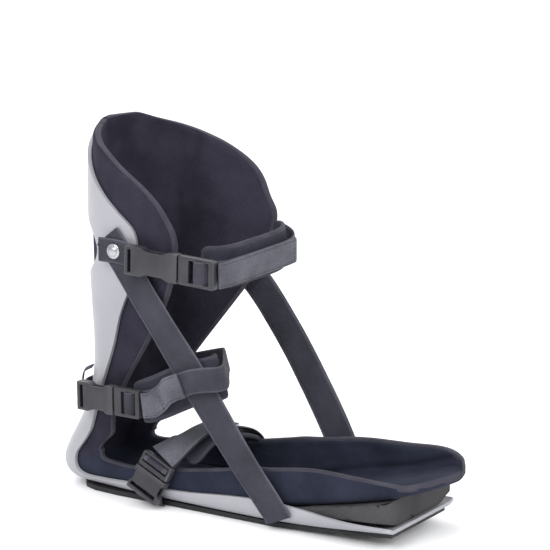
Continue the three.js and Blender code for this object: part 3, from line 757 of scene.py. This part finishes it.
rise = (-0.27, 0, 0.96)
backPath = [shellAt(13.15, share, -4.9) for share in (-0.78, -0.55, -0.3, 0, 0.3, 0.55, 0.78)]
band("ankle_back_webbing", [
    (-20, -46.2, 87.6), (-31, -44.7, 86.8), *backPath, (-28, 45.5, 84), (-8, 49, 88), (6, 49.8, 91.5)],
    [up, (0.1, 0, 1), (0.4, 0, 0.92), (0.1, 0, 1), rise], 20, "shell_frame", "ankle_back_strap",
    webFinish)
band("ankle_strap_webbing", [
    (17, -50.3, 88), (30, -51.2, 88.8), (42, -53.6, 91.8), (58, -60.4, 101), (69, -67.6, 108.4),
    (86, -70.4, 117.2), (95, -73, 120.6), (104, -71.8, 122.6), (111, -64.5, 122.4), (110, -52, 121.4),
    (100, -34, 120), (87, -14, 118),
    (73, 8, 115.5), (59, 30, 111), (46, 45, 106), (28, 52.4, 100), (8, 53.4, 94), (-10, 52, 88.6)],
    [up, (-0.3, 0, 0.9), rise, rise, rise, rise], 20, "shell_frame", "ankle_webbing",
    webFinish)
ankleFlap, ankleLong = band("ankle_strap_hook_flap", [
    (34.8, -58.3, 88.4), (43, -57.6, 89.8), (57.4, -62.8, 100), (68.2, -70.5, 108.6), (82, -72.6, 115.2)],
    [up, (-0.3, 0, 0.95), (-0.45, 0, 0.9)], 21, "ankle_flap", "ankle_hook_tab", hookFinish,
    wave=0.3)
stitches("ankle_flap_stitching", "ankle_flap",
         [(ankleFlap, 26, 27, -8.6, 8.6), (ankleFlap, 24, 23, -8.6, 8.6)]
         + [(ankleFlap, 4, ankleLong - 4, s, s) for s in (-8.8, 8.8)])
# station on the trough and distance off the shell
keeperSpots = [(12.1, 1.2), (12.15, 4), (12.28, 7.6), (12.8, 8.2), (13.4, 7.8), (13.8, 7.1), (13.92, 4),
               (14, 1.2)]
band("ankle_keeper_loop", [shellAt(s, -0.42, -off) for s, off in keeperSpots], (0.5, -0.87, 0), 11,
     "shell_frame", "ankle_strap_keeper", webFinish, thick=1.2, wave=0)

band("instep_anchor_webbing", [
    (30, -38, 2.6), (30, -40.8, 3.7), (30.2, -43.8, 6.6), (30.6, -45.3, 9.5), (31, -45.4, 12)],
    (1, 0, -0.25), 28, "shell_frame", "instep_anchor", wideFinish, wave=0)
instepAcross = [(0.9, -0.2, -0.38), (0.92, -0.38, 0.1), (0.97, -0.22, 0.1), (1, 0, 0.05), (1, 0, 0)]
band("instep_strap_webbing", [
    (43.4, -40, 39.4), (48, -35.6, 45), (54.5, -26.6, 52), (61, -14, 58.4), (67, 0, 61), (72.5, 15, 59.6),
    (74.5, 30, 54.4), (75, 42, 45.4), (75, 48.4, 33.5), (75, 49.6, 22), (75, 48.8, 12.5), (75, 45.6, 6.2),
    (75, 40.8, 3)], instepAcross, 26, "shell_frame", "instep_webbing", wideFinish)
instepFlap, instepLong = band("instep_strap_hook_flap", [
    (45.4, -45.4, 43.8), (49.6, -38.8, 48.4), (56.3, -28.4, 55.3), (62.2, -15, 61.6), (67.6, 0, 64.2),
    (72.4, 13, 63.2)], instepAcross[:3], 28, "instep_flap", "instep_hook_tab", hookFinish,
    wave=0.3)
stitches("instep_flap_stitching", "instep_flap",
         [(instepFlap, 4, instepLong - 4, s, s) for s in (-11.8, 11.8)]
         + [(instepFlap, instepLong - 4, instepLong - 4, -11.8, 11.8)])
print("straps made")


def pad(name, node, route, across, width, body):
    route = np.array(route, float)
    across = np.array(across if np.ndim(across) > 1 else [across, across], float)
    points, ahead, run = track(route, 2.6)
    cols = np.linspace(-0.5, 0.5, 15)
    top, low, ins = [], [], []
    for centre, forward, at in zip(points, ahead, run):
        side = unit(centripetal(across, at / run[-1] * (len(across) - 1)) if len(across) > 2 else across[0])
        side = unit(side - forward * (side @ forward))
        out = np.cross(forward, side)
        fromEnd = min(at, run[-1] - at)
        half = width - 2 - (3.5 * (1 - math.sqrt(max(1 - (1 - fromEnd / 6) ** 2, 0))) if fromEnd < 6 else 0)
        rowTop, rowLow = [], []
        for s in cols:
            reach = min((0.5 - abs(s)) * half, fromEnd)
            t = min(reach / 7, 1)
            thick = 1.5 + 0.9 * math.sqrt(1 - (1 - t) ** 2)
            dent = 0.35 * softNoise(centre + side * s * half, 13, len(name))
            rowTop.append(centre + side * s * half + out * (thick + dent * t))
            rowLow.append(centre + side * s * half - out * thick)
        top.append(rowTop)
        low.append(rowLow)
    top, low = np.array(top), np.array(low)
    verts, faces = closedPlate(top, low)
    piece = makePiece(name, verts, faces, padFinish, body, [node])
    rows, columns = top.shape[:2]
    size = rows * columns
    border = [i * columns + j for i in range(rows) for j in range(columns)
              if i in (0, rows - 1) or j in (0, columns - 1)]
    inflate(piece, border + [b + size for b in border], 4.0, 1.1)
    soften(piece)
    order = edgeOrder(rows, columns, True)
    order += [(0, j) for j in range(columns - 2, -1, -1)]
    rim, into, through = borderOf(top, low, order)
    sweep(name + "_binding", rim + into * 1.2, into, through, (2.6, 2.0), bindingFinish, body,
          sides=10)
    return piece


pad("calf_strap_pad", "upper_pad", [
    (97, -62, 212), (108, -60.5, 212), (114.4, -48, 212), (115.6, -25, 212), (115.8, 3, 212),
    (114.6, 21, 212), (109.5, 37, 212), (101, 48, 212), (92, 54, 212)], up, 34, "calf_strap")
pad("ankle_strap_pad", "ankle_pad", [
    (24, -45.2, 86), (42, -47.6, 93.5), (64, -52.4, 104.5), (84, -54.5, 114), (98, -53.5, 118),
    (100, -44.5, 118.4), (93, -32, 117.8)], (-0.33, 0, 0.94), 36, "shell_frame")
pad("instep_strap_pad", "instep_pad", [
    (51, -26, 43.6), (55.5, -18.5, 47.6), (60.5, -9, 51.8), (66, 2, 54.6), (70.5, 13.5, 53.4),
    (73.5, 24, 49.6), (75, 30.5, 44.8)], instepAcross[:4], 40, "shell_frame")
print("pads made")


buckleBodies = {
    "upper": {"socket": "calf_cuff", "plug": "calf_strap", "a": "calf_latch_a", "b": "calf_latch_b"},
    "ankle": {"socket": "ankle_socket", "plug": "shell_frame", "a": "ankle_latch_a", "b": "ankle_latch_b"},
    "instep": {"socket": "shell_frame", "plug": "instep_plug", "a": "instep_latch_a", "b": "instep_latch_b"}}
for word, bodies in buckleBodies.items():
    polished(word + "_buckle_socket", buckleFinish, bodies["socket"], 0.55)
    polished(word + "_buckle_plug", buckleFinish, bodies["plug"], 0.45)
    for arm in "ab":
        polished(word + "_latch_arm_" + arm, buckleFinish, bodies[arm], 0.3)

# strap bar corner, pull direction, outward direction, socket and plug lengths, width of the webbing
buckleSpots = {
    "upper": {"origin": (31, -66.9, 212.2), "along": (0.994, -0.06, -0.03), "out": (-0.06, -1, 0),
              "mouth": 52.6, "plug": 35, "web": 19.4},
    "ankle": {"origin": (-31, -48.4, 87.4), "along": (0.998, -0.06, 0.015), "out": (-0.06, -1, 0),
              "mouth": 37.6, "plug": 26, "web": 18.8},
    "instep": {"origin": (30, -48.2, 9.5), "along": (0.39, 0.2, 0.9), "out": (0, -0.96, 0.27),
               "mouth": 21.6, "plug": 13, "web": 26}}
for word, spot in buckleSpots.items():  # the webbing's turn over the plug's middle bar
    x = unit(np.array(spot["along"], float))
    z = np.array(spot["out"], float)
    z = unit(z - x * (z @ x))
    turn = [(0.36, 2.6), (0.42, 5.4), (0.49, 7.9), (0.58, 8.7), (0.67, 7.9), (0.74, 5.4), (0.80, 2.6)]
    start = np.array(spot["origin"]) + x * spot["mouth"]
    band(word + "_webbing_turn", [start + x * (spot["plug"] * u) + z * h for u, h in turn], np.cross(z, x),
         spot["web"], buckleBodies[word]["plug"], None, webFinish, thick=1.5, wave=0)

# radius and height of the rivet's head above the shell
rivetProfile = [(0, 5.2), (5.9, 5.2), (6.1, 5.4), (6.1, 5.7), (5.7, 6.0), (4.6, 6.2), (4.3, 6.3),
                (4.0, 6.9), (3.2, 7.5), (2.2, 7.8), (1.1, 7.95), (0, 8.0)]


def turned(name, profile, centre, side, finish, body, node, sides=40):
    verts, faces = [], []
    for r, h in profile:
        verts += [(centre[0] + r * math.cos(a), side * (centre[1] + h), centre[2] + r * math.sin(a))
                  for a in np.linspace(0, 2 * math.pi, sides, endpoint=False)] if r else [
                      (centre[0], side * (centre[1] + h), centre[2])]
    starts = np.cumsum([0] + [sides if r else 1 for r, h in profile])
    for i in range(len(profile) - 1):
        a, b = starts[i], starts[i + 1]
        for j in range(sides):
            k = (j + 1) % sides
            if not profile[i][0]:
                faces.append((a, b + k, b + j))
            elif not profile[i + 1][0]:
                faces.append((a + j, a + k, b))
            else:
                faces.append((a + j, a + k, b + k, b + j))
    piece = makePiece(name, verts, faces, finish, body, [node])
    piece.data.set_sharp_from_angle(angle=math.radians(50))
    return piece


for word, side in (("near", -1), ("far", 1)):
    turned(word + "_rivet_head", rivetProfile, (13, face - 0.3, 215), side, steelFinish, "shell_frame",
           word + "_rivet")

polished("outsole", soleFinish, "shell_frame", 0.8)


def makeWedge():
    piece = polished("toe_wedge", foamFinish, "wedge", 2.2)
    work = bmesh.new()
    work.from_mesh(piece.data)
    bmesh.ops.triangulate(work, faces=work.faces)
    for _ in range(3):
        long = [e for e in work.edges if e.calc_length() > 0.009]
        bmesh.ops.subdivide_edges(work, edges=long, cuts=1)
        bmesh.ops.triangulate(work, faces=work.faces)
    for v in work.verts:
        v.co -= v.normal * (0.25 + 0.25 * softNoise(v.co / mm, 17, 5.0)) * mm
    work.to_mesh(piece.data)
    work.free()
    piece.data.shade_smooth()
    piece.data.set_sharp_from_angle(angle=math.radians(50))


makeWedge()
print("hardware made")


cameraSpec = {"azimuth": 32.0, "elevation": 12.9, "distance": 2.3, "lens": 188.0,
              "target": Vector((0.125, 0, 0.1965))}
studio = {"floor": (246, 247, 249), "key": 9.0, "fill": 5.0, "rim": 4.0, "sky": 1.0}


def makeCamera():
    a, e = math.radians(cameraSpec["azimuth"]), math.radians(cameraSpec["elevation"])
    ahead = Vector((-math.sin(a) * math.cos(e), math.cos(a) * math.cos(e), -math.sin(e)))
    camera = bpy.data.objects.new("camera", bpy.data.cameras.new("camera"))
    camera.location = cameraSpec["target"] - ahead * cameraSpec["distance"]
    camera.rotation_euler = ahead.to_track_quat("-Z", "Y").to_euler()
    camera.data.lens, camera.data.sensor_width = cameraSpec["lens"], 36
    camera.data.clip_start, camera.data.clip_end = 0.05, 60
    bpy.context.scene.collection.objects.link(camera)
    bpy.context.scene.camera = camera


def softBox(name, place, aim, size, power):
    lamp = bpy.data.lights.new(name, "AREA")
    lamp.shape, lamp.size, lamp.size_y = "RECTANGLE", size[0], size[1]
    lamp.energy = power
    holder = bpy.data.objects.new(name, lamp)
    holder.location = place
    holder.rotation_euler = (Vector(aim) - Vector(place)).to_track_quat("-Z", "Y").to_euler()
    bpy.context.scene.collection.objects.link(holder)


def makeStudio():
    f = Finish("paleFloor")
    p = f.place()
    paper, lit = tone(*studio["floor"], 1.0), tone(252, 252, 253, 1.0)
    f.feed("Base Color", f.blendColour(f.grain(p, 6), paper, lit))
    f.feed("Roughness", f.remap(f.grain(p, 20), 0.3, 0.7, 0.8, 0.95))
    mesh = bpy.data.meshes.new("floor")
    far = 6.0
    mesh.from_pydata([(-far, -far, 0), (far, -far, 0), (far, far, 0), (-far, far, 0)], [], [(0, 1, 2, 3)])
    floor = bpy.data.objects.new("floor", mesh)
    floor.data.materials.append(f.material)
    floor.location.z = -0.0002
    bpy.context.scene.collection.objects.link(floor)
    world = bpy.data.worlds.new("studio")
    world.use_nodes = True
    world.node_tree.nodes["Background"].inputs[0].default_value = (1, 1, 1, 1)
    world.node_tree.nodes["Background"].inputs[1].default_value = studio["sky"]
    bpy.context.scene.world = world
    softBox("keyLight", (0.2, -1.9, 1.7), (0.05, 0, 0.15), (1.6, 1.2), studio["key"] * 4)
    softBox("fillLight", (1.9, -0.3, 1.2), (0.05, 0, 0.15), (1.4, 1.4), studio["fill"] * 4)
    softBox("rimLight", (-1.4, 1.0, 1.8), (0.05, 0, 0.15), (1.4, 1.0), studio["rim"] * 4)
    bpy.context.scene.view_settings.view_transform = "Standard"


makeCamera()
makeStudio()
print("studio ready")
